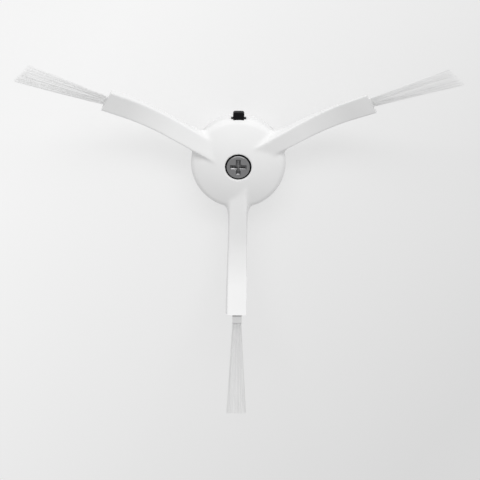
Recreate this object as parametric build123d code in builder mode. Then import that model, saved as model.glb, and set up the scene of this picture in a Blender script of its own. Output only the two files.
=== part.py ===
"""Side brush of a robot vacuum cleaner, lying with its screw head up.

A white moulded hub carries three arms that sweep outwards and upwards, each with a flat fan of
bristles set into its end. A captive screw stands in the hub, held by a black clip that slides in
from the rim, with a black ring around its head. Origin on the hub's axis, in the plane of its
open underside. Millimetres.
"""

import os
from math import acos, asin, atan2, cos, degrees, exp, radians, tan

from build123d import *

# Hub: a domed cap, widest part-way up and open underneath
hub_height = 10.8
rim_radius = 15.2
rim_height = 5.6
shoulder_radius = 2.8
skirt_draft = 5
hub_wall = 1.9

# Core of the hub: the sleeve that plugs onto the drive post
core_radius = 6.6
core_recess = 0.4
socket_radius = 5.0
socket_flats = 8.4
socket_chamfer = 0.4
rib_count = 6
rib_thickness = 1.4
rib_recess = 1.2

# Arms: a level root, a bend and a straight end that holds the bristles
arm_count = 3
first_arm_angle = 30
arm_root_radius = 6.5
arm_drop = 1.35
arm_bend_start = 23.2
arm_bend_radius = 32
arm_slope = 31.6
arm_reach = 47.6
arm_root_width = 5.3
arm_end_width = 6.6
arm_root_depth = 5.6
arm_end_depth = 2.3
arm_draft = 7
arm_twist = 15
arm_lean = 13
flare_width = 0.9
flare_length = 0.9
flare_stations = 8
outer_stations = 6

# Bristle tufts: a fused root band in a pocket of the arm's end, then a fan of filaments
band_width = 3.0
band_thickness = 0.9
band_length = 2.4
pocket_depth = 4.0
pocket_clearance = 0.05
bristle_reach = 31.7
fan_width = 6.3
fan_thickness = 1.1
filament_width = 0.16
filament_seat = 0.4
filament_columns = 17
filament_rows = 3
side_slant = 18
side_lean = 0.6

# Captive screw: pan head, plain shoulder, neck for the clip, and thread at its nominal size
head_radius = 3.75
head_height = 2.4
head_recess = 0.2
head_rounding = 0.7
head_clearance = 0.45
head_lift = 0.05
screw_radius = 2.0
screw_clearance = 0.08
neck_radius = 1.2
screw_end_height = 0.9
screw_chamfer = 0.4
cross_length = 5.0
cross_width = 1.25
cross_depth = 1.5
cross_taper = 12

# Retainer: a forked clip that passes through the rim and around the screw's neck
seat_web = 1.6
clip_thickness = 1.2
clip_width = 4.7
clip_clearance = 0.05
prong_overrun = 0.9
clip_proud = 0.05
neck_clearance = 0.1
floor_web = 0.8
channel_wall = 1.3
tab_thickness = 2.4
tab_root_width = 3.35
tab_end_width = 3.65
tab_length = 1.85
tab_rounding = 0.5

# Ring around the screw's head, which fills the seat's rim
ring_gap = 0.08
ring_clearance = 0.05
ring_recess = 0.5

# Dome: a crown arc that runs into the rim's shoulder arc, and the drafted skirt's foot
shoulder_reach = rim_radius - shoulder_radius
dome_rise = hub_height - rim_height
crown_span = shoulder_reach**2 + dome_rise**2 - shoulder_radius**2
crown_radius = crown_span / (2 * (dome_rise - shoulder_radius))
crown_centre = (0, hub_height - crown_radius)
crown_start = degrees(atan2(rim_height - hub_height + crown_radius, shoulder_reach))
skirt_lean = radians(skirt_draft)
base_radius = shoulder_reach + shoulder_radius / cos(skirt_lean) - rim_height * tan(skirt_lean)

# Heights that follow from the dome's top: the arms' level and the stack of head, web, clip and socket
arm_height = hub_height - arm_drop
seat_height = hub_height - head_recess - head_height
slot_top = seat_height - seat_web
clip_bottom = slot_top - clip_clearance - clip_thickness
slot_bottom = clip_bottom - clip_clearance
socket_top = slot_bottom - floor_web
clip_middle = clip_bottom + clip_thickness / 2


# Space inside the hub, around the core, the ribs and the clip's channel
with BuildPart() as hub_cavity:
    with BuildSketch(Plane.XZ):
        with BuildLine():
            roof_radius = crown_radius - hub_wall
            roof_start = degrees(acos((rim_radius - hub_wall) / roof_radius))
            roof = CenterArc(crown_centre, roof_radius, roof_start, 90 - roof_start)
            Polyline(roof @ 1, (0, 0), (base_radius - hub_wall, 0), roof @ 0)
        make_face()
    revolve(axis=Axis.Z)
    with BuildSketch(Plane.XY.offset(core_recess)):
        Circle(core_radius)
    extrude(amount=hub_height, mode=Mode.SUBTRACT)
    with BuildSketch(Plane.XY.offset(rib_recess)):
        with PolarLocations(rim_radius / 2, rib_count, start_angle=first_arm_angle):
            Rectangle(rim_radius, rib_thickness)
    extrude(amount=hub_height, mode=Mode.SUBTRACT)
    with BuildSketch(Plane.XY.offset(socket_top)):
        with Locations((0, rim_radius / 2)):
            Rectangle(clip_width + 2 * (clip_clearance + channel_wall), rim_radius)
    extrude(amount=hub_height, mode=Mode.SUBTRACT)

# Top line of an arm, drawn along X
with BuildLine(Plane.XZ) as arm_line:
    root_run = Line((arm_root_radius, arm_height), (arm_bend_start, arm_height))
    bend = JernArc(root_run @ 1, root_run % 1, arm_bend_radius, arm_slope)
    end_run = (arm_reach - (bend @ 1).X) / cos(radians(arm_slope))
    Line(bend @ 1, bend @ 1 + (bend % 1) * end_run)
arm_wire = arm_line.wire()


def arm_section_plane(share):
    """Plane across the arm at a share of its length, x to the left of the outward direction."""
    return Plane(arm_wire @ share, x_dir=(0, 1, 0), z_dir=arm_wire % share)


def arm_section(share):
    """Corners of the arm's section: a tilted top, and a foot flared at the hub and shifted past the bend."""
    half_top = (arm_root_width + (arm_end_width - arm_root_width) * share) / 2
    tilt = half_top * tan(radians(arm_twist * (1 - share)))
    depth = arm_end_depth + (arm_root_depth - arm_end_depth) * (1 - share) ** 3
    past_rim = (arm_wire @ share).X - rim_radius
    flare = 2 * flare_width / (1 + exp(past_rim / flare_length))
    half_base = half_top + depth * tan(radians(arm_draft * (1 - share))) + flare
    bent = degrees(asin((arm_wire % share).Z)) / arm_slope
    shift = depth * tan(radians(arm_lean * bent))
    return [(half_top, tilt), (-half_top, -tilt), (-half_base - shift, -depth), (half_base - shift, -depth)]


# Shares of an arm's length for its sections, closest up to the bend, where the foot flares
flare_end = (arm_bend_start - arm_root_radius) / arm_wire.length
flare_shares = [flare_end * station / flare_stations for station in range(flare_stations)]
outer_step = (1 - flare_end) / outer_stations
outer_shares = [flare_end + outer_step * station for station in range(outer_stations + 1)]

# One arm, along X, with the pocket for its bristles
arm_end_plane = arm_section_plane(1)
band_middle = -arm_end_depth / 2
with BuildPart() as arm:
    for share in (*flare_shares, *outer_shares):
        with BuildSketch(arm_section_plane(share)):
            Polygon(*arm_section(share), align=None)
    loft()
    with BuildSketch(arm_end_plane):
        with Locations((0, band_middle)):
            Rectangle(band_width + 2 * pocket_clearance, band_thickness + 2 * pocket_clearance)
    extrude(amount=-pocket_depth, mode=Mode.SUBTRACT)

# Body: hub and arms moulded as one, with the socket and the clip's slot
with BuildPart() as brush_body:
    with BuildSketch(Plane.XZ):
        with BuildLine():
            rim_centre = (shoulder_reach, rim_height)
            shoulder = CenterArc(rim_centre, shoulder_radius, -skirt_draft, crown_start + skirt_draft)
            crown = CenterArc(crown_centre, crown_radius, crown_start, 90 - crown_start)
            Polyline(shoulder @ 0, (base_radius, 0), (0, 0), crown @ 1)
        make_face()
    revolve(axis=Axis.Z)
    with PolarLocations(0, arm_count, start_angle=first_arm_angle):
        add(arm.part)
    add(hub_cavity.part, mode=Mode.SUBTRACT)
    with BuildSketch(Plane.XY):
        Circle(socket_radius)
        Rectangle(2 * socket_radius, socket_flats, mode=Mode.INTERSECT)
    extrude(amount=socket_top, mode=Mode.SUBTRACT)
    chamfer(brush_body.edges(Select.LAST).group_by(Axis.Z)[0], socket_chamfer)
    with BuildSketch(Plane.XY):
        Circle(screw_radius + screw_clearance)
    extrude(amount=hub_height, mode=Mode.SUBTRACT)
    with BuildSketch(Plane.XY.offset(seat_height)):
        Circle(head_radius + head_clearance)
    extrude(amount=hub_height, mode=Mode.SUBTRACT)
    slot_start = neck_radius + prong_overrun + clip_clearance
    with BuildSketch(Plane.XY.offset(slot_bottom)):
        with Locations((0, (rim_radius - slot_start) / 2)):
            Rectangle(clip_width + 2 * clip_clearance, rim_radius + slot_start)
    extrude(amount=slot_top - slot_bottom, mode=Mode.SUBTRACT)
brush_body.part.label = "brush_body"


def filament_plane(column, row, lean):
    """Plane at the root of one filament, facing along it."""
    across = (2 * column + row % 2) / (filament_columns - 1) - 1
    above = 2 * row / (filament_rows - 1) - 1
    root_across = across * (band_width / 2 - filament_width)
    root_above = above * (band_thickness / 2 - filament_width)
    root = Vector(root_across, band_middle + root_above, band_length - filament_seat)
    tip_across = across * fan_width / 2 - lean
    tip = Vector(tip_across, band_middle + above * fan_thickness / 2, bristle_reach)
    along = arm_end_plane.from_local_coords(tip) - arm_end_plane.from_local_coords(root)
    return Plane(arm_end_plane.from_local_coords(root), z_dir=along)


# Bristle tufts: those on the two sides lean forward and are trimmed at a slant, the front one square
tuft_sides = {"right": 1, "left": -1, "front": 0}
tufts = []
for place, (name, side) in enumerate(tuft_sides.items()):
    with BuildPart() as tuft:
        for row in range(filament_rows):
            for column in range(filament_columns - row % 2):
                with BuildSketch(filament_plane(column, row, side * side_lean)):
                    Rectangle(filament_width, filament_width)
        extrude(amount=bristle_reach + fan_width)
        trim_tilt = (0, side * side_slant, 0)
        trim = arm_end_plane.location * Location((0, band_middle, bristle_reach), trim_tilt)
        split(bisect_by=Plane(trim), keep=Keep.BOTTOM)
        with BuildSketch(arm_end_plane.offset(pocket_clearance - pocket_depth)):
            with Locations((0, band_middle)):
                Rectangle(band_width, band_thickness)
        extrude(amount=band_length + pocket_depth - pocket_clearance)
    placed = tuft.part.rotate(Axis.Z, first_arm_angle + place * 360 / arm_count)
    placed.label = f"bristle_tuft_{name}"
    tufts.append(placed)

# Captive screw
with BuildPart() as captive_screw:
    head_bottom = seat_height + head_lift
    head_top = head_bottom + head_height
    with BuildSketch(Plane.XZ):
        with BuildLine():
            Polyline(
                (0, head_top),
                (head_radius, head_top),
                (head_radius, head_bottom),
                (screw_radius, head_bottom),
                (screw_radius, slot_top),
                (neck_radius, slot_top),
                (neck_radius, socket_top),
                (screw_radius, socket_top),
                (screw_radius, screw_end_height),
                (0, screw_end_height),
                close=True,
            )
        make_face()
    revolve(axis=Axis.Z)
    fillet(captive_screw.edges().group_by(Axis.Z)[-1], head_rounding)
    chamfer(captive_screw.edges().group_by(Axis.Z)[0], screw_chamfer)
    with BuildSketch(Plane.XY.offset(head_top)):
        Rectangle(cross_length, cross_width)
        Rectangle(cross_width, cross_length)
    extrude(amount=-cross_depth, taper=cross_taper, mode=Mode.SUBTRACT)
captive_screw.part.label = "captive_screw"

# Forked clip along Y, standing a little proud of the rim, and its tab outside
clip_end = rim_radius + clip_proud
with BuildPart() as screw_retainer:
    with BuildSketch(Plane.XY.offset(clip_bottom)):
        prong_end = -(neck_radius + prong_overrun)
        with Locations((0, (prong_end + clip_end) / 2)):
            Rectangle(clip_width, clip_end - prong_end)
        fork_gap = 2 * (neck_radius + neck_clearance)
        Circle(fork_gap / 2, mode=Mode.SUBTRACT)
        with Locations((0, prong_end / 2)):
            Rectangle(fork_gap, -prong_end, mode=Mode.SUBTRACT)
    extrude(amount=clip_thickness)
    with BuildSketch(Plane.XY.offset(clip_middle)):
        Polygon(
            (-tab_root_width / 2, clip_end),
            (tab_root_width / 2, clip_end),
            (tab_end_width / 2, clip_end + tab_length),
            (-tab_end_width / 2, clip_end + tab_length),
            align=None,
        )
    extrude(amount=tab_thickness / 2, both=True)
    fillet(screw_retainer.edges().filter_by(Axis.Z).group_by(Axis.Y)[-1], tab_rounding)
screw_retainer.part.label = "screw_retainer"

# Ring in the seat, around the screw's head
with BuildPart() as seat_ring:
    with BuildSketch(Plane.XY.offset(seat_height)):
        Circle(head_radius + head_clearance - ring_clearance)
        Circle(head_radius + ring_gap, mode=Mode.SUBTRACT)
    extrude(amount=hub_height - ring_recess - seat_height)
seat_ring.part.label = "seat_ring"

os.makedirs("parts", exist_ok=True)
for piece in (brush_body.part, captive_screw.part, screw_retainer.part, seat_ring.part, *tufts):
    export_step(piece, f"parts/{piece.label}.step")
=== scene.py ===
# %% [markdown]
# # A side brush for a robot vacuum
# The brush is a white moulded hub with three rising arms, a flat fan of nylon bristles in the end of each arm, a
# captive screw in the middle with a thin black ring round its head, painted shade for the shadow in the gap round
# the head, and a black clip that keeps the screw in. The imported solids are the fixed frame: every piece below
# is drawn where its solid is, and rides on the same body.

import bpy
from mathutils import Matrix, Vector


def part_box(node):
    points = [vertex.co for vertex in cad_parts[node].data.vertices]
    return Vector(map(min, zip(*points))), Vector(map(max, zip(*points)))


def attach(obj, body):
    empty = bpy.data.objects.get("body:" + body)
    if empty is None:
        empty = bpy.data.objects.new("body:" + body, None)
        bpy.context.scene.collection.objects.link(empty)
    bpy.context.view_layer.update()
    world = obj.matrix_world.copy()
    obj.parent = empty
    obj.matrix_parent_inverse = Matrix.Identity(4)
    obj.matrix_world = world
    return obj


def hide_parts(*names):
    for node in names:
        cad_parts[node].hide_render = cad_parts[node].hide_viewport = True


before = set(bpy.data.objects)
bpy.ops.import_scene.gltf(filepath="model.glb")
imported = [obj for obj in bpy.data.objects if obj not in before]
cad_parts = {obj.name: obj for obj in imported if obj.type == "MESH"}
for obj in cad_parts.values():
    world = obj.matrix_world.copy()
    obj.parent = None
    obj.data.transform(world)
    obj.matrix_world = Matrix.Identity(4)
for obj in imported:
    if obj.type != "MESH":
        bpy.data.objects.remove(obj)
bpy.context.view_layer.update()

# %% Libraries
import math
import random

import bmesh
import bpy
from mathutils import Matrix, Vector
from mathutils.bvhtree import BVHTree

# %% [markdown]
# ## Working in millimetres
# The frame is in metres, and the smallest details here are a tenth of a millimetre. Blender's merging,
# bevelling and remeshing work best on numbers near one, so each piece is drawn in millimetres and scaled to
# metres once, when it is finished. `finish_piece` does that for all of them.

# %% From a drawing to a piece
mm = 0.001
crease = math.radians(35)


def put_in_scene(name, data):
    """Make an object from its data, and link it to the scene."""
    thing = bpy.data.objects.new(name, data)
    bpy.context.scene.collection.objects.link(thing)
    return thing


def workpiece(name, shape):
    """Put a bmesh into an object, so that modifiers can work on it."""
    mesh = bpy.data.meshes.new(name)
    shape.to_mesh(mesh)
    shape.free()
    return put_in_scene(name, mesh)


def take_shape(piece):
    """Take a workpiece's mesh back as a bmesh, and put the object away."""
    shape = bmesh.new()
    shape.from_mesh(piece.data)
    bpy.data.objects.remove(piece)
    return shape


def finish_piece(piece, material, slot, body, *nodes, sharp_angle=crease):
    """Scale a piece to metres, shade it, and let it stand for its solids on their body."""
    piece.data.transform(Matrix.Scale(mm, 4))
    piece.data.materials.clear()
    piece.data.materials.append(material)
    piece.data.shade_smooth()
    piece.data.set_sharp_from_angle(angle=sharp_angle)
    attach(piece, body)
    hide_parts(*nodes)
    print(piece.name, len(piece.data.polygons), "faces")


# %% Modifiers, settled at once
def settle(piece):
    """Turn what a piece's modifiers give into its own mesh."""
    evaluated = piece.evaluated_get(bpy.context.evaluated_depsgraph_get())
    mesh = bpy.data.meshes.new_from_object(evaluated)
    piece.modifiers.clear()
    piece.data = mesh


def carve(piece, shape, operation="DIFFERENCE", overlapping=False):
    """Cut a shape out of a piece, or join it on, and put the tool away."""
    tool = workpiece("tool", shape)
    modifier = piece.modifiers.new("carve", "BOOLEAN")
    modifier.operation = operation
    modifier.solver = "EXACT"
    modifier.use_self = overlapping
    modifier.object = tool
    settle(piece)
    bpy.data.objects.remove(tool)


def smooth(piece, passes, group=""):
    """Let the points of a piece, or only those of a group, drift towards their neighbours."""
    modifier = piece.modifiers.new("smooth", "SMOOTH")
    modifier.factor = 0.5
    modifier.iterations = passes
    modifier.vertex_group = group
    settle(piece)


def round_edges(piece, width, segments):
    """Bevel every edge that is sharper than a crease."""
    modifier = piece.modifiers.new("edges", "BEVEL")
    modifier.width = width
    modifier.segments = segments
    modifier.limit_method = "ANGLE"
    modifier.angle_limit = crease
    settle(piece)


# %% [markdown]
# ## Outlines that are turned
# The hub, the cavity under it, the screw and its ring are all round, so each starts as half an outline in the XZ
# plane. An arc is a single point that `spin` swings about the arc's centre, and a straight line is a point that
# is extruded. Spinning the whole outline round Z then gives the solid, as on a lathe.

# %% Drawing and turning outlines
def points(parts):
    """The points among the parts that an operator gives back."""
    return [part for part in parts if isinstance(part, bmesh.types.BMVert)]


def start(radius, height):
    """Begin an outline, and give it with its first point."""
    outline = bmesh.new()
    return outline, outline.verts.new((radius, 0, height))


def extend(outline, corner, place):
    """Extrude an outline's last point to a place."""
    corner = bmesh.ops.extrude_vert_indiv(outline, verts=[corner])["verts"][0]
    corner.co = place
    return corner


def draw(outline, corner, *places):
    """Draw straight on from an outline's last point, through places of radius and height."""
    for radius, height in places:
        corner = extend(outline, corner, (radius, 0, height))
    return corner


def swing(outline, corner, centre, degrees, steps):
    """Swing an outline's last point about a centre, leaving an arc behind it."""
    arc = bmesh.ops.spin(
        outline, geom=[corner], cent=(centre[0], 0, centre[1]), axis=(0, 1, 0),
        angle=math.radians(degrees), steps=steps,
    )
    return points(arc["geom_last"])[0]


def turn(outline, steps):
    """Spin an outline round Z into a closed solid."""
    bmesh.ops.spin(
        outline, geom=outline.verts[:] + outline.edges[:], cent=(0, 0, 0), axis=(0, 0, 1),
        angle=math.tau, steps=steps, use_merge=True,
    )
    bmesh.ops.remove_doubles(outline, verts=outline.verts, dist=0.0001)
    bmesh.ops.recalc_face_normals(outline, faces=outline.faces)
    return outline


# %% [markdown]
# ## The hub
# On the real brush the hub is a shallow dome with a soft shoulder and a short skirt that leans inwards, so that
# it leaves its mould. Two arcs that meet without a corner give that dome: a wide one for the crown and a small
# one for the shoulder.

# %% The hub as a solid dome
hub_height = 10.8
rim_radius = 15.2
rim_height = 5.6
shoulder_radius = 2.8
skirt_draft = 5
hub_wall = 1.9
hub_steps = 192

shoulder_reach = rim_radius - shoulder_radius
dome_rise = hub_height - rim_height
crown_span = shoulder_reach**2 + dome_rise**2 - shoulder_radius**2
crown_radius = crown_span / (2 * (dome_rise - shoulder_radius))
crown_centre = (0, hub_height - crown_radius)
crown_sweep = 90 - math.degrees(math.atan2(rim_height - crown_centre[1], shoulder_reach))
skirt_lean = math.radians(skirt_draft)
base_radius = shoulder_reach + shoulder_radius / math.cos(skirt_lean) - rim_height * math.tan(skirt_lean)

hub, corner = start(0, hub_height)
corner = swing(hub, corner, crown_centre, crown_sweep, steps=40)
corner = swing(hub, corner, (shoulder_reach, rim_height), 90 - crown_sweep + skirt_draft, steps=24)
draw(hub, corner, (base_radius, 0), (0, 0))
turn(hub, hub_steps)
hub_surface = BVHTree.FromBMesh(hub)
print("hub", round(2 * rim_radius, 1), "mm across, crown radius", round(crown_radius, 1), "mm")

# %% [markdown]
# ## The arms
# Each arm leaves the hub level, bends upwards and ends in a straight run. It is twisted at the hub, thins and
# widens on its way out, and its foot flares where it meets the rim. A bar is cut into many slices, and every
# point is then carried to its place along the arm's line, which keeps the four long edges clean.

# %% Bars, and copies round the axis
def block(low, high):
    """A box between two corners."""
    shape = bmesh.new()
    bmesh.ops.create_cube(shape, size=1)
    low, high = Vector(low), Vector(high)
    bmesh.ops.scale(shape, vec=high - low, verts=shape.verts)
    bmesh.ops.translate(shape, vec=(low + high) / 2, verts=shape.verts)
    return shape


def edges_along(shape, axis, length):
    """The edges that span most of a length along an axis, 0 for X to 2 for Z."""
    return [edge for edge in shape.edges if abs((edge.verts[0].co - edge.verts[1].co)[axis]) > length / 2]


def repeat_round(shape, first_angle, count):
    """Repeat a shape round Z, the first one turned by an angle in degrees."""
    drawn = shape.verts[:] + shape.edges[:] + shape.faces[:]
    groups = [shape.verts[:]]
    for _ in range(count - 1):
        groups.append(points(bmesh.ops.duplicate(shape, geom=drawn)["geom"]))
    for place, verts in enumerate(groups):
        angle = math.radians(first_angle + place * 360 / count)
        bmesh.ops.rotate(shape, cent=(0, 0, 0), matrix=Matrix.Rotation(angle, 3, "Z"), verts=verts)
    return shape


# %% The line of an arm
arm_count = 3
first_arm_angle = 30
arm_root_radius = 6.5
arm_drop = 1.35
arm_bend_start = 23.2
arm_bend_radius = 32
arm_slope = math.radians(31.6)
arm_reach = 47.6

arm_height = hub_height - arm_drop
level_run = arm_bend_start - arm_root_radius
bend_run = arm_bend_radius * arm_slope
bend_end = arm_bend_start + arm_bend_radius * math.sin(arm_slope)
arm_length = level_run + bend_run + (arm_reach - bend_end) / math.cos(arm_slope)


def arm_place(along):
    """Frame at a distance along an arm's top line: x along the arm, y across it, z up from it."""
    level = min(along, level_run)
    turned = min(max(along - level_run, 0) / arm_bend_radius, arm_slope)
    straight = max(along - level_run - bend_run, 0)
    reach = arm_root_radius + level + arm_bend_radius * math.sin(turned) + straight * math.cos(turned)
    rise = arm_height + arm_bend_radius * (1 - math.cos(turned)) + straight * math.sin(turned)
    return Matrix.Translation((reach, 0, rise)) @ Matrix.Rotation(-turned, 4, "Y")


print("arms", round(arm_length, 1), "mm along their top line")

# %% Three arms, bent from bars
arm_root_width, arm_end_width = 5.3, 6.6
arm_root_depth, arm_end_depth = 5.6, 2.3
arm_draft = math.radians(7)
arm_twist = math.radians(15)
arm_lean = math.radians(13)
flare_width = 0.9
flare_length = 0.9
arm_slices = 72
arm_spare = 1.0


def arm_point(along, across, down):
    """Point of an arm: across from -1 to 1, down from 0 at the top to 1 at the foot."""
    share = along / arm_length
    place = arm_place(along)
    half_top = (arm_root_width + (arm_end_width - arm_root_width) * share) / 2
    depth = arm_end_depth + (arm_root_depth - arm_end_depth) * (1 - share) ** 3
    flare = 2 * flare_width / (1 + math.exp((place.translation.x - rim_radius) / flare_length))
    half_foot = half_top + depth * math.tan(arm_draft * (1 - share)) + flare
    half_width = half_top + (half_foot - half_top) * down
    tilt = half_top * math.tan(arm_twist * (1 - share)) * (1 - down)
    bent = min(max(along - level_run, 0) / bend_run, 1)
    shift = depth * math.tan(arm_lean * bent)
    return place @ Vector((0, across * half_width - shift * down, across * tilt - depth * down))


arms = block((0, -1, 0), (arm_length + arm_spare, 1, 1))
long_edges = edges_along(arms, 0, arm_length)
bmesh.ops.subdivide_edges(arms, edges=long_edges, cuts=arm_slices - 1, use_grid_fill=True)
for vert in arms.verts:
    vert.co = arm_point(vert.co.x, vert.co.y, 1 - vert.co.z)
repeat_round(arms, first_arm_angle, arm_count)
arm_surface = BVHTree.FromBMesh(arms)
print("arms", len(arms.faces), "faces")

# %% [markdown]
# ## One moulding
# Hub and arms come out of one mould. The dome and the arms are joined by a Boolean, and then the hollow under
# the dome is cut away around the parts that stay: the sleeve for the drive post, six ribs, and the channel that
# the clip slides in.

# %% Levels of the clip and the socket
clip_low, clip_high = (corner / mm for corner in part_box("screw_retainer"))
clip_clearance = 0.05
clip_thickness = 1.2
floor_web = 0.8
clip_middle = (clip_low.z + clip_high.z) / 2
slot_bottom = clip_middle - clip_thickness / 2 - clip_clearance
slot_top = clip_middle + clip_thickness / 2 + clip_clearance
slot_half = clip_high.x + clip_clearance
socket_top = slot_bottom - floor_web
print("slot from", round(slot_bottom, 2), "to", round(slot_top, 2), "mm, socket to", round(socket_top, 2), "mm")

# %% Join the arms and hollow the hub
core_radius, core_recess = 6.6, 0.4
rib_count, rib_thickness, rib_recess = 6, 1.4, 1.2
channel_wall = 1.3
hollow_bottom = -0.5
rod_steps = 96


def rod(radius, low, high):
    """A round bar along Z between two heights."""
    shape = bmesh.new()
    bmesh.ops.create_cone(
        shape, cap_ends=True, segments=rod_steps, radius1=radius, radius2=radius, depth=high - low,
        matrix=Matrix.Translation((0, 0, (low + high) / 2)),
    )
    return shape


body = workpiece("moulded_body", hub)
carve(body, arms, "UNION")

hollow, corner = start(0, hub_height - hub_wall)
roof_sweep = math.degrees(math.asin((rim_radius - hub_wall) / (crown_radius - hub_wall)))
corner = swing(hollow, corner, crown_centre, roof_sweep, steps=40)
draw(hollow, corner, (base_radius - hub_wall, hollow_bottom), (0, hollow_bottom))
cutter = workpiece("hollow", turn(hollow, hub_steps))
carve(cutter, rod(core_radius, core_recess, hub_height))
ribs = block((0, -rib_thickness / 2, rib_recess), (rim_radius, rib_thickness / 2, hub_height))
carve(cutter, repeat_round(ribs, first_arm_angle, rib_count), overlapping=True)
channel_half = slot_half + channel_wall
carve(cutter, block((-channel_half, 0, socket_top), (channel_half, rim_radius, hub_height)))
carve(body, take_shape(cutter))
print("body", len(body.data.polygons), "faces after joining")

# %% [markdown]
# ## Socket, bore and seat
# Under the hub is a socket with two flats, which the drive post turns. Above it the screw passes through a bore,
# and its head sinks into a seat in the crown. All of them are plain cuts, which the next step softens.

# %% Cut the openings
head_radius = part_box("captive_screw")[1].x / mm
head_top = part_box("captive_screw")[1].z / mm
head_height = 2.4
head_bottom = head_top - head_height
head_lift = 0.05
head_clearance = 0.45
screw_radius = 2.0
screw_clearance = 0.08
socket_radius, socket_flats = 5.0, 8.4
cut_spare = 1

socket = workpiece("socket", rod(socket_radius, -cut_spare, socket_top))
flats_reach = socket_radius + cut_spare
carve(
    socket,
    block((-flats_reach, -socket_flats / 2, -2 * cut_spare), (flats_reach, socket_flats / 2, hub_height)),
    "INTERSECT",
)
carve(body, take_shape(socket))
carve(body, rod(screw_radius + screw_clearance, 0, hub_height))
carve(body, rod(head_radius + head_clearance, head_bottom - head_lift, hub_height + cut_spare))
print("body", len(body.data.polygons), "faces after cutting")

# %% [markdown]
# ## Softening the moulding
# A moulding has no knife edges, and its arms flow out of the hub. The mesh is rebuilt from small voxels and
# smoothed a little all over, which rounds every edge. Then the points that lie close to both the dome and an
# arm are smoothed much more, and only those, so that a blend of about two millimetres grows at each root.

# %% Remesh, round the edges and blend the roots
voxel = 0.28
blend_reach = 2.4
edge_passes = 5
root_passes = 40

remesh = body.modifiers.new("rebuild", "REMESH")
remesh.mode = "VOXEL"
remesh.voxel_size = voxel
smooth(body, edge_passes)

roots = body.vertex_groups.new(name="roots")
for vert in body.data.vertices:
    to_hub = hub_surface.find_nearest(vert.co)[3]
    to_arm = arm_surface.find_nearest(vert.co)[3]
    nearness = 1 - max(to_hub, to_arm) / blend_reach
    if nearness > 0:
        roots.add([vert.index], nearness, "REPLACE")
smooth(body, root_passes, "roots")
body.vertex_groups.clear()
print("body", len(body.data.polygons), "faces after softening")

# %% [markdown]
# ## Crisp cuts
# Where slides of the mould shut against each other, the edges stay sharp: at the ends of the arms, in the pockets
# for the roots of the bristles and round the clip's slot. So these are cut after the softening. The arms were
# drawn a little too long and get their flat ends here, which slope back underneath, so that no end face shows
# from above.

# %% Trim the arms, cut the pockets and the slot
band_width, band_thickness = 3.0, 0.9
pocket_depth = 4.0
pocket_clearance = 0.05
end_undercut = math.radians(30)
band_middle = -arm_end_depth / 2
pocket_half = band_width / 2 + pocket_clearance
pocket_rise = band_thickness / 2 + pocket_clearance


def at_arm_ends(shape, first_angle=first_arm_angle, count=arm_count):
    """Carry a shape from the origin to the end of every arm, or of a single one."""
    bmesh.ops.transform(shape, matrix=arm_place(arm_length), verts=shape.verts)
    return repeat_round(shape, first_angle, count)


trim = block((0, -arm_end_width, -2 * arm_end_depth), (2 * arm_end_depth, arm_end_width, arm_end_depth))
bmesh.ops.rotate(trim, cent=(0, 0, 0), matrix=Matrix.Rotation(end_undercut, 3, "Y"), verts=trim.verts)
carve(body, at_arm_ends(trim))
pocket = block(
    (-pocket_depth, -pocket_half, band_middle - pocket_rise),
    (arm_spare, pocket_half, band_middle + pocket_rise),
)
carve(body, at_arm_ends(pocket))
slot = block(
    (-slot_half, clip_low.y - clip_clearance, slot_bottom),
    (slot_half, rim_radius + cut_spare, slot_top),
)
carve(body, slot)
print("body", len(body.data.polygons), "faces,", len(body.data.loop_triangles), "triangles")

# %% [markdown]
# ## Moulded surface
# The white body and the black clip and ring are all moulded, so they share one effect: the fine even grain of a
# spark-eroded mould, and faint clouds where the plastic flowed. It is a node group, built once. It gives a
# colour, a roughness and a height, and each material has its own values for them.

# %% Helpers for nodes
def set_values(node, values):
    """Give some of a node's sockets their own values."""
    for socket, value in values.items():
        node.inputs[socket].default_value = value


def new_node(tree, kind, values=None, operation=None):
    """Add a node with its operation and its own values."""
    node = tree.nodes.new(kind)
    if operation:
        node.operation = operation
    set_values(node, values or {})
    return node


def link(tree, *wires):
    """Join sockets, each wire from one node's output to another's input."""
    for source, output, target, socket in wires:
        tree.links.new(source.outputs[output], target.inputs[socket])


# %% The grain group
grain = bpy.data.node_groups.new("moulded_grain", "ShaderNodeTree")
for name, direction, kind in (
    ("Colour", "INPUT", "NodeSocketColor"),
    ("Cloud", "INPUT", "NodeSocketFloat"),
    ("Roughness", "INPUT", "NodeSocketFloat"),
    ("Colour", "OUTPUT", "NodeSocketColor"),
    ("Roughness", "OUTPUT", "NodeSocketFloat"),
    ("Height", "OUTPUT", "NodeSocketFloat"),
):
    grain.interface.new_socket(name, in_out=direction, socket_type=kind)
entry = new_node(grain, "NodeGroupInput")
leave = new_node(grain, "NodeGroupOutput")
coords = new_node(grain, "ShaderNodeTexCoord")
fine = new_node(grain, "ShaderNodeTexNoise", {"Scale": 5200, "Detail": 2})
fine_span = new_node(grain, "ShaderNodeMapRange", {"To Min": 0.9, "To Max": 1.1})
rough = new_node(grain, "ShaderNodeMath", operation="MULTIPLY")
clouds = new_node(grain, "ShaderNodeTexNoise", {"Scale": 160, "Detail": 3})
cloud_span = new_node(grain, "ShaderNodeMapRange", {"To Min": -1})
shade = new_node(grain, "ShaderNodeMath", {2: 1}, "MULTIPLY_ADD")
tint = new_node(grain, "ShaderNodeVectorMath", operation="SCALE")
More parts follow.
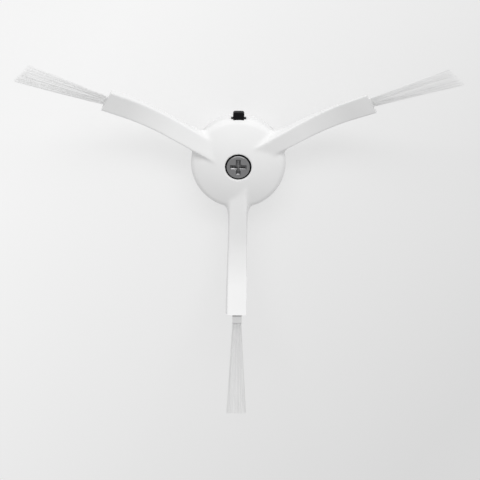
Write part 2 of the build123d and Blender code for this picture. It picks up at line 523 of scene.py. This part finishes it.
link(
    grain,
    (coords, "Object", fine, "Vector"),
    (coords, "Object", clouds, "Vector"),
    (clouds, "Fac", cloud_span, "Value"),
    (cloud_span, "Result", shade, 0),
    (entry, "Cloud", shade, 1),
    (entry, "Colour", tint, 0),
    (shade, "Value", tint, "Scale"),
    (fine, "Fac", fine_span, "Value"),
    (fine_span, "Result", rough, 0),
    (entry, "Roughness", rough, 1),
    (tint, "Vector", leave, "Colour"),
    (rough, "Value", leave, "Roughness"),
    (fine, "Fac", leave, "Height"),
)
print("grain group", len(grain.nodes), "nodes")

# %% White and black plastic
def new_material(name):
    """A material with its node tree and its shader."""
    material = bpy.data.materials.new(name)
    material.use_nodes = True
    return material, material.node_tree, material.node_tree.nodes["Principled BSDF"]


def moulded_plastic(name, colour, cloud, roughness, grain_depth, shine):
    """A plastic with the mould's grain, its depth in millimetres."""
    material, tree, shader = new_material(name)
    set_values(shader, {"Specular IOR Level": shine})
    surface = new_node(tree, "ShaderNodeGroup")
    surface.node_tree = grain
    set_values(surface, {"Colour": (*colour, 1), "Cloud": cloud, "Roughness": roughness})
    bump = new_node(tree, "ShaderNodeBump", {"Distance": grain_depth * mm})
    link(
        tree,
        (surface, "Colour", shader, "Base Color"),
        (surface, "Roughness", shader, "Roughness"),
        (surface, "Height", bump, "Height"),
        (bump, "Normal", shader, "Normal"),
    )
    return material


white_plastic = moulded_plastic(
    "white_plastic", (0.87, 0.87, 0.87), cloud=0.012, roughness=0.5, grain_depth=0.006, shine=0.25
)
black_plastic = moulded_plastic(
    "black_plastic", (0.006, 0.006, 0.007), cloud=0.15, roughness=0.5, grain_depth=0.012, shine=0.1
)
finish_piece(body, white_plastic, "white_plastic", "brush", "brush_body", sharp_angle=math.radians(50))

# %% [markdown]
# ## The captive screw
# The screw has a pan head, a plain shoulder, a waist that the clip holds, and a thread. The blank is turned. The
# thread is one small profile spun upwards along a helix: it spans exactly one pitch, so each turn meets the
# next. Cut to length by a turned blank, it has the chamfered end of a real screw.

# %% Head, shoulder and waist
head_rounding = 0.4
neck_radius = 1.2
screw_steps = 128

outline, corner = start(0, head_top)
corner = draw(outline, corner, (head_radius - head_rounding, head_top))
corner = swing(outline, corner, (head_radius - head_rounding, head_top - head_rounding), 90, steps=10)
draw(
    outline, corner, (head_radius, head_bottom), (screw_radius, head_bottom), (screw_radius, slot_top),
    (neck_radius, slot_top), (neck_radius, socket_top), (0, socket_top),
)
screw = workpiece("screw", turn(outline, screw_steps))
print("head", round(2 * head_radius, 2), "mm across, waist", 2 * neck_radius, "mm")

# %% Thread
screw_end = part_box("captive_screw")[0].z / mm
screw_chamfer = 0.4
thread_pitch = 0.7
thread_depth = 0.43
crest_start, crest_end = 0.45, 0.55
thread_steps = 36
thread_overrun = 0.1
waist_overlap = 0.05
spare_turns = 2

turns = math.ceil((socket_top - screw_end) / thread_pitch) + spare_turns
thread_root = screw_radius - thread_depth
thread_start = screw_end - thread_pitch
thread, corner = start(thread_root, thread_start)
draw(
    thread, corner, (screw_radius, thread_start + crest_start * thread_pitch),
    (screw_radius, thread_start + crest_end * thread_pitch), (thread_root, thread_start + thread_pitch),
)
bmesh.ops.spin(
    thread, geom=thread.verts[:] + thread.edges[:], cent=(0, 0, 0), axis=(0, 0, 1), angle=turns * math.tau,
    steps=turns * thread_steps, dvec=(0, 0, thread_pitch / thread_steps),
)
bmesh.ops.remove_doubles(thread, verts=thread.verts, dist=0.001)
for height, side in ((screw_end - thread_overrun, -1), (socket_top + thread_overrun, 1)):
    cut = bmesh.ops.bisect_plane(
        thread, geom=thread.verts[:] + thread.edges[:] + thread.faces[:], plane_co=(0, 0, height),
        plane_no=(0, 0, side), clear_outer=True,
    )
    rim = [part for part in cut["geom_cut"] if isinstance(part, bmesh.types.BMEdge)]
    bmesh.ops.contextual_create(thread, geom=rim)
bmesh.ops.recalc_face_normals(thread, faces=thread.faces)

blank_top = socket_top + waist_overlap
blank, corner = start(0, blank_top)
draw(
    blank, corner, (screw_radius, blank_top), (screw_radius, screw_end + screw_chamfer),
    (screw_radius - screw_chamfer, screw_end), (0, screw_end),
)
threaded = workpiece("threaded", thread)
carve(threaded, turn(blank, rod_steps), "INTERSECT")
carve(screw, take_shape(threaded), "UNION")
print("screw", round(head_top - screw_end, 2), "mm long,", turns - spare_turns, "turns of thread")

# %% [markdown]
# ## The cross recess
# A driver finds the cross because its mouth is wide: the sides slope in before they drop straight. So each of
# the two crossing slots is cut twice, once with a shallow sloping blade and once with a deep upright one. A
# pyramid between them leaves a small facet in each inner corner, and a fine bevel catches the light on every
# edge, as the edges of a pressed head do.

# %% Cut the cross and bevel the edges
cross_length, cross_width = 5.3, 1.55
mouth_depth, mouth_slope = 0.41, 0.42
cross_depth, cross_draft = 1.7, 0.1
point_half, point_depth, point_proud = 1.05, 0.79, 0.02


def cut_cross(length, width, depth, slope):
    """Cut two crossing slots into the head, which get narrower by their slope on each side."""
    for angle in (0, 90):
        blade = block((-1, -1, -depth), (1, 1, depth))
        for vert in blade.verts:
            inwards = -slope * vert.co.z / depth
            vert.co.x *= length / 2 - inwards
            vert.co.y *= width / 2 - inwards
        bmesh.ops.translate(blade, vec=(0, 0, head_top), verts=blade.verts)
        carve(screw, repeat_round(blade, angle, 1))


cut_cross(cross_length, cross_width, mouth_depth, mouth_slope)
point = bmesh.new()
point_place = Matrix.Translation((0, 0, head_top + point_proud - point_depth / 2))
bmesh.ops.create_cone(
    point, cap_ends=True, segments=4, radius1=0, radius2=point_half * math.sqrt(2), depth=point_depth,
    matrix=point_place @ Matrix.Rotation(math.pi / 4, 4, "Z"),
)
carve(screw, point)
cut_cross(cross_length - 2 * mouth_slope, cross_width - 2 * mouth_slope, cross_depth, cross_draft)
round_edges(screw, width=0.05, segments=2)
print("cross", cross_length, "mm long and", cross_depth, "mm deep")

# %% [markdown]
# ## Screw steel
# The screw is plain zinc-grey steel with a satin head: darker than its surroundings, with faint rings left by
# the tool that faced it. The rings follow the distance from the axis, so they come from the X and Y of the
# Object coordinates.

# %% Steel with faint turning rings
first_colour, second_colour, mixed_colour = 6, 7, 2


def colour_mix(tree, first, second):
    """A node that mixes two colours, whose sockets have numbers because their names repeat."""
    mix = new_node(tree, "ShaderNodeMix")
    mix.data_type = "RGBA"
    set_values(mix, {first_colour: (*first, 1), second_colour: (*second, 1)})
    return mix


screw_steel, tree, shader = new_material("screw_steel")
set_values(shader, {"Metallic": 1})
coords = new_node(tree, "ShaderNodeTexCoord")
flat = new_node(tree, "ShaderNodeVectorMath", {1: (1, 1, 0)}, "MULTIPLY")
radius = new_node(tree, "ShaderNodeVectorMath", operation="LENGTH")
rings = new_node(tree, "ShaderNodeTexNoise", {"Scale": 9000})
rings.noise_dimensions = "1D"
mottle = new_node(tree, "ShaderNodeTexNoise", {"Scale": 1500, "Detail": 3})
steel = colour_mix(tree, (0.28, 0.28, 0.285), (0.35, 0.35, 0.355))
satin = new_node(tree, "ShaderNodeMapRange", {"To Min": 0.34, "To Max": 0.44})
bump = new_node(tree, "ShaderNodeBump", {"Distance": 0.004 * mm})
link(
    tree,
    (coords, "Object", flat, 0),
    (flat, "Vector", radius, 0),
    (radius, "Value", rings, "W"),
    (coords, "Object", mottle, "Vector"),
    (mottle, "Fac", steel, "Factor"),
    (steel, mixed_colour, shader, "Base Color"),
    (rings, "Fac", satin, "Value"),
    (satin, "Result", shader, "Roughness"),
    (rings, "Fac", bump, "Height"),
    (bump, "Normal", shader, "Normal"),
)
finish_piece(screw, screw_steel, "screw_steel", "screw", "captive_screw")

# %% [markdown]
# ## The black clip
# A flat fork slides in from the rim, takes the screw's waist between its prongs and ends flush with the rim,
# where a small tab is left to pull it by. The fork is one face with a round gap, extruded and bevelled, and the
# tab is a block that widens outwards.

# %% Fork
neck_clearance = 0.1
clip_proud = 0.05
fork_gap = 2 * (neck_radius + neck_clearance)
clip_end = rim_radius + clip_proud
clip_bottom = clip_middle - clip_thickness / 2

fork = bmesh.new()
corner = fork.verts.new((fork_gap / 2, clip_low.y, clip_bottom))
corner = extend(fork, corner, (fork_gap / 2, 0, clip_bottom))
arc = bmesh.ops.spin(fork, geom=[corner], cent=(0, 0, clip_bottom), axis=(0, 0, 1), angle=math.pi, steps=24)
corner = points(arc["geom_last"])[0]
for x, y in (
    (-fork_gap / 2, clip_low.y), (clip_low.x, clip_low.y), (clip_low.x, clip_end),
    (clip_high.x, clip_end), (clip_high.x, clip_low.y),
):
    corner = extend(fork, corner, (x, y, clip_bottom))
bmesh.ops.contextual_create(fork, geom=fork.verts[:])
plate = bmesh.ops.extrude_face_region(fork, geom=fork.faces[:])["geom"]
bmesh.ops.translate(fork, vec=(0, 0, clip_thickness), verts=points(plate))
bmesh.ops.recalc_face_normals(fork, faces=fork.faces)
clip = workpiece("clip", fork)
print("fork gap", fork_gap, "mm")

# %% Tab
tab_thickness = clip_high.z - clip_low.z
tab_root_width, tab_end_width, tab_rounding = 3.35, 3.65, 0.7
tab_overlap = 1

tab = block((-1, clip_end - tab_overlap, clip_low.z), (1, clip_high.y, clip_high.z))
for vert in tab.verts:
    vert.co.x *= (tab_end_width if vert.co.y > clip_end else tab_root_width) / 2
outer = [edge for edge in edges_along(tab, 2, tab_thickness) if edge.verts[0].co.y > clip_end]
bmesh.ops.bevel(
    tab, geom=outer, offset=tab_rounding, offset_type="OFFSET", affect="EDGES", segments=8, profile=0.5,
    material=-1,
)
carve(clip, tab, "UNION")
round_edges(clip, width=0.18, segments=3)
finish_piece(clip, black_plastic, "black_plastic", "brush", "screw_retainer")

# %% [markdown]
# ## The ring round the head
# A thin black ring lines the seat, so the screw's head stands in a dark circle: the ring is painted shade, a dark
# piece for the shadow in the gap round the head. Its outline is a small rectangle, turned like the hub, with its
# edges rounded.

# %% Seat ring
# The black ring is painted shade: it darkens the gap round the screw's head, where the shadow falls.
ring_low, ring_high = (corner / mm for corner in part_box("seat_ring"))
ring_gap = 0.08
ring_inside = head_radius + ring_gap

outline, first = start(ring_inside, ring_low.z)
last = draw(outline, first, (ring_high.x, ring_low.z), (ring_high.x, ring_high.z), (ring_inside, ring_high.z))
bmesh.ops.contextual_create(outline, geom=[last, first])
ring = workpiece("painted_shade_ring", turn(outline, screw_steps))
round_edges(ring, width=0.08, segments=2)
finish_piece(ring, black_plastic, "black_plastic", "brush", "seat_ring")

# %% [markdown]
# ## Bristles
# A tuft is a bundle of nylon filaments, pressed flat and fused at the root and then fanning out. Curves with a
# bevel could draw them, but then each filament could not carry a value of its own. Here one straight filament
# with a few faces is drawn once and copied along a gently bowed line for every bristle. Each copy keeps a shade
# of its own in an attribute, because no two bristles of a real tuft look alike, and its tuft's painted light and
# shade are added to it.

# %% One filament
filament_radius = 0.034
filament_sides = 5
filament_slices = 6

straight = bmesh.new()
bmesh.ops.create_cone(
    straight, cap_ends=True, segments=filament_sides, radius1=filament_radius, radius2=filament_radius, depth=1,
    matrix=Matrix.Translation((0, 0, 0.5)),
)
long_edges = edges_along(straight, 2, 1)
bmesh.ops.subdivide_edges(straight, edges=long_edges, cuts=filament_slices - 1, use_grid_fill=True)
filament = bpy.data.meshes.new("filament")
straight.to_mesh(filament)
straight.free()
print("filament", len(filament.polygons), "faces")

# %% [markdown]
# ## Fans
# The bristles crowd towards the edges of the fan, and none is quite in line: small random shifts move each root,
# tip and bow. The two side fans are cut at a slant and lean over, as mirror images of each other. The front
# tuft's bristles and fused root are painted darker than these two: painted shade, where the side fans get painted
# light for the light that shines through their nylon. Only the front tuft's fused root reaches out of the arm.

# %% The line of one bristle
filament_columns, filament_rows = 20, 3
bristle_reach = 31.7
fan_width, fan_thickness = 6.3, 1.1
side_slant = math.radians(18)
side_lean = 0.6
edge_crowding = 0.35
root_inset = 0.1
column_shift, row_shift = 0.2, 0.15
tip_across_shift, tip_reach_shift, tip_rise_shift = 0.05, 0.12, 0.08
bow_across, bow_rise = 0.06, 0.05
dice = random.Random(7)


def bristle_line(column, row, side, begin):
    """Root, bow and tip of one bristle, in the frame of the arm's end."""
    place = column + row / filament_rows + dice.uniform(-column_shift, column_shift)
    even = 2 * place / (filament_columns - 1 / filament_rows) - 1
    across = (even + edge_crowding * math.sin(even * math.pi / 2)) / (1 + edge_crowding)
    above = 2 * row / (filament_rows - 1) - 1 + dice.uniform(-row_shift, row_shift)
    root_across = across * (band_width / 2 - root_inset)
    root = Vector((begin, root_across, band_middle + above * (band_thickness / 2 - root_inset)))
    tip_across = across * fan_width / 2 - side * side_lean + dice.gauss(0, tip_across_shift)
    slanted = bristle_reach - tip_across * side * math.tan(side_slant)
    reach = slanted - abs(dice.gauss(0, tip_reach_shift))
    tip_rise = band_middle + above * fan_thickness / 2 + dice.gauss(0, tip_rise_shift)
    bow = Vector((0, dice.gauss(0, bow_across), dice.gauss(0, bow_rise)))
    return root, bow, Vector((reach, tip_across, tip_rise))


# %% Three tufts
front_band, side_band = 2.4, -0.2
root_overlap = 0.3
pocket_gap = 0.1
shade_span = 0.35
# Name, side, where the fused root ends, the root's painted shade and the darkest bristle's painted shade: painted
# light on the side tufts, painted shade on the front one
tuft_looks = (
    ("right", 1, side_band, 0.7, 0.65),
    ("left", -1, side_band, 0.7, 0.65),
    ("front", 0, front_band, 0.18, 0.4),
)


def tuft(side, band_end, painted_root_shade, darkest_painted_shade):
    """A fan of bristles on its fused root, along X before it is placed."""
    half_width, half_rise = band_width / 2, band_thickness / 2
    shape = block(
        (pocket_gap - pocket_depth, -half_width, band_middle - half_rise),
        (band_end, half_width, band_middle + half_rise),
    )
    shade_layer = shape.verts.layers.float.new("shade")
    for vert in shape.verts:
        vert[shade_layer] = painted_root_shade
    for row in range(filament_rows):
        for column in range(filament_columns):
            root, bow, tip = bristle_line(column, row, side, band_end - root_overlap)
            # The darkest shade is each tuft's painted light and shade; the random part is each bristle's own
            # tone.
            tone_and_painted_light = darkest_painted_shade + dice.uniform(0, shade_span)
            drawn = len(shape.verts)
            shape.from_mesh(filament)
            shape.verts.ensure_lookup_table()
            for vert in shape.verts[drawn:]:
                share = vert.co.z
                bowed = root.lerp(tip, share) + bow * 4 * share * (1 - share)
                vert.co = bowed + Vector((0, vert.co.x, vert.co.y))
                vert[shade_layer] = tone_and_painted_light
    return shape


tufts = {}
for place, (name, *looks) in enumerate(tuft_looks):
    shape = at_arm_ends(tuft(*looks), first_arm_angle + place * 360 / arm_count, 1)
    tufts[name] = workpiece(f"bristles_{name}", shape)
print("bristles", filament_columns * filament_rows, "in each tuft")

# %% [markdown]
# ## Bristle nylon
# Nylon bristle is nearly clear, so a fan looks pale, and the table shows through the gaps between its bristles.
# A clear shader would lose too much light among so many thin tubes. They are opaque here and only pale: each
# bristle's shade moves its colour, a random tone of its own plus its tuft's painted light and shade for the light
# that passes through the nylon, and a noise lets its gloss come and go along its length.

# %% Pale nylon
bristle_nylon, tree, shader = new_material("bristle_nylon")
set_values(shader, {"Specular IOR Level": 0.3})
coords = new_node(tree, "ShaderNodeTexCoord")
streaks = new_node(tree, "ShaderNodeTexNoise", {"Scale": 700})
gloss = new_node(tree, "ShaderNodeMapRange", {"To Min": 0.5, "To Max": 0.7})
# The shade attribute holds each bristle's own tone and its tuft's painted light and shade.
tone_and_painted_light_node = new_node(tree, "ShaderNodeAttribute")
tone_and_painted_light_node.attribute_name = "shade"
colour = colour_mix(tree, (0.52, 0.52, 0.52), (0.97, 0.97, 0.97))
link(
    tree,
    (tone_and_painted_light_node, "Fac", colour, "Factor"),
    (colour, mixed_colour, shader, "Base Color"),
    (coords, "Object", streaks, "Vector"),
    (streaks, "Fac", gloss, "Value"),
    (gloss, "Result", shader, "Roughness"),
)
corner_angle = math.radians(80)
for name, piece in tufts.items():
    finish_piece(piece, bristle_nylon, "bristle_nylon", "brush", f"bristle_tuft_{name}", sharp_angle=corner_angle)

# %% [markdown]
# ## Table
# The brush lies on a pale table that gets darker towards the right and the front: painted light, the fall of the
# light across the table. Most of that shade is a glow that only the camera, shiny surfaces and clear materials
# see.
# So it does not light the matt plastic, and the rest of the table's paint still takes the shadow of the brush,
# which the glow paints lighter.

# %% Table
table_half = 2000
fall_direction = (-0.81, 0.58, 0)
fall_start, fall_end = -0.114, 0.056
glow_share = 0.66

floor_shape = bmesh.new()
bmesh.ops.create_grid(floor_shape, x_segments=1, y_segments=1, size=table_half)
table = workpiece("table", floor_shape)
table.data.transform(Matrix.Scale(mm, 4))
table_paint, tree, shader = new_material("table_paint")
set_values(shader, {"Base Color": (0.84, 0.84, 0.84, 1), "Roughness": 0.9, "Specular IOR Level": 0})
coords = new_node(tree, "ShaderNodeTexCoord")
fall = new_node(tree, "ShaderNodeVectorMath", {1: fall_direction}, "DOT_PRODUCT")
# Painted light: the glow falls off towards the right and the front, as the light falls across the table.
painted_light_falloff = new_node(
    tree, "ShaderNodeMapRange", {"From Min": fall_start, "From Max": fall_end, "To Min": 0.7, "To Max": 1}
)
glow = new_node(tree, "ShaderNodeEmission")
seen = new_node(tree, "ShaderNodeLightPath")
mirrored = new_node(tree, "ShaderNodeMath", operation="MAXIMUM")
either = new_node(tree, "ShaderNodeMath", operation="MAXIMUM")
share = new_node(tree, "ShaderNodeMath", {1: glow_share}, "MULTIPLY")
both = new_node(tree, "ShaderNodeMixShader")
link(
    tree,
    (coords, "Object", fall, 0),
    (fall, "Value", painted_light_falloff, "Value"),
    (painted_light_falloff, "Result", glow, "Color"),
    (seen, "Is Glossy Ray", mirrored, 0),
    (seen, "Is Transmission Ray", mirrored, 1),
    (seen, "Is Camera Ray", either, 0),
    (mirrored, "Value", either, 1),
    (either, "Value", share, 0),
    (share, "Value", both, "Fac"),
    (shader, "BSDF", both, 1),
    (glow, "Emission", both, 2),
    (both, "Shader", tree.nodes["Material Output"], "Surface"),
)
table.data.materials.append(table_paint)
print("table", 2 * table_half * mm, "m wide")

# %% [markdown]
# ## Light
# A long soft lamp stands behind the brush in a bright room. The room is the world's even light. It does most of
# the work, which keeps the shadows weak, and the lamp gives the dome its bright rear and its darker front.

# %% Room and lamp
room = bpy.data.worlds.new("room")
room.use_nodes = True
set_values(room.node_tree.nodes["Background"], {"Color": (1, 1, 1, 1), "Strength": 0.58})
bpy.context.scene.world = room
lamp = bpy.data.lights.new("soft_lamp", "AREA")
lamp.shape = "RECTANGLE"
lamp.size, lamp.size_y = 1.1, 0.22
lamp.energy = 4.2
soft_lamp = put_in_scene("soft_lamp", lamp)
soft_lamp.location = (0.03, 0.66, 0.5)
soft_lamp.rotation_euler = (-soft_lamp.location).to_track_quat("-Z", "Y").to_euler()
bpy.context.scene.view_settings.view_transform = "Standard"
print("lamp", round(soft_lamp.location.length, 2), "m away")

# %% [markdown]
# ## Camera
# The photograph looks down on the brush steeply, from the clip's side and with a long lens. The camera stands on
# a line that is tilted back from the hub's axis, and is rolled by half a degree.

# %% Camera
tilt, roll = math.radians(20.43), math.radians(0.49)
distance, shift_right, shift_up = 637.7, 0.56, -23.11

back = Vector((0, math.sin(tilt), math.cos(tilt)))
right = Vector((1, 0, 0))
up = back.cross(right)
image_right = right * math.cos(roll) + up * math.sin(roll)
image_up = up * math.cos(roll) - right * math.sin(roll)
stand = Vector((0, 0, head_top)) + back * distance + image_right * shift_right + image_up * shift_up
camera_data = bpy.data.cameras.new("camera")
camera_data.lens = 150
camera_data.sensor_width = 36
camera = put_in_scene("camera", camera_data)
axes = Matrix((image_right, image_up, back)).transposed().to_4x4()
camera.matrix_world = Matrix.Translation(stand * mm) @ axes
bpy.context.scene.camera = camera
print("camera", round(distance * mm, 3), "m away")
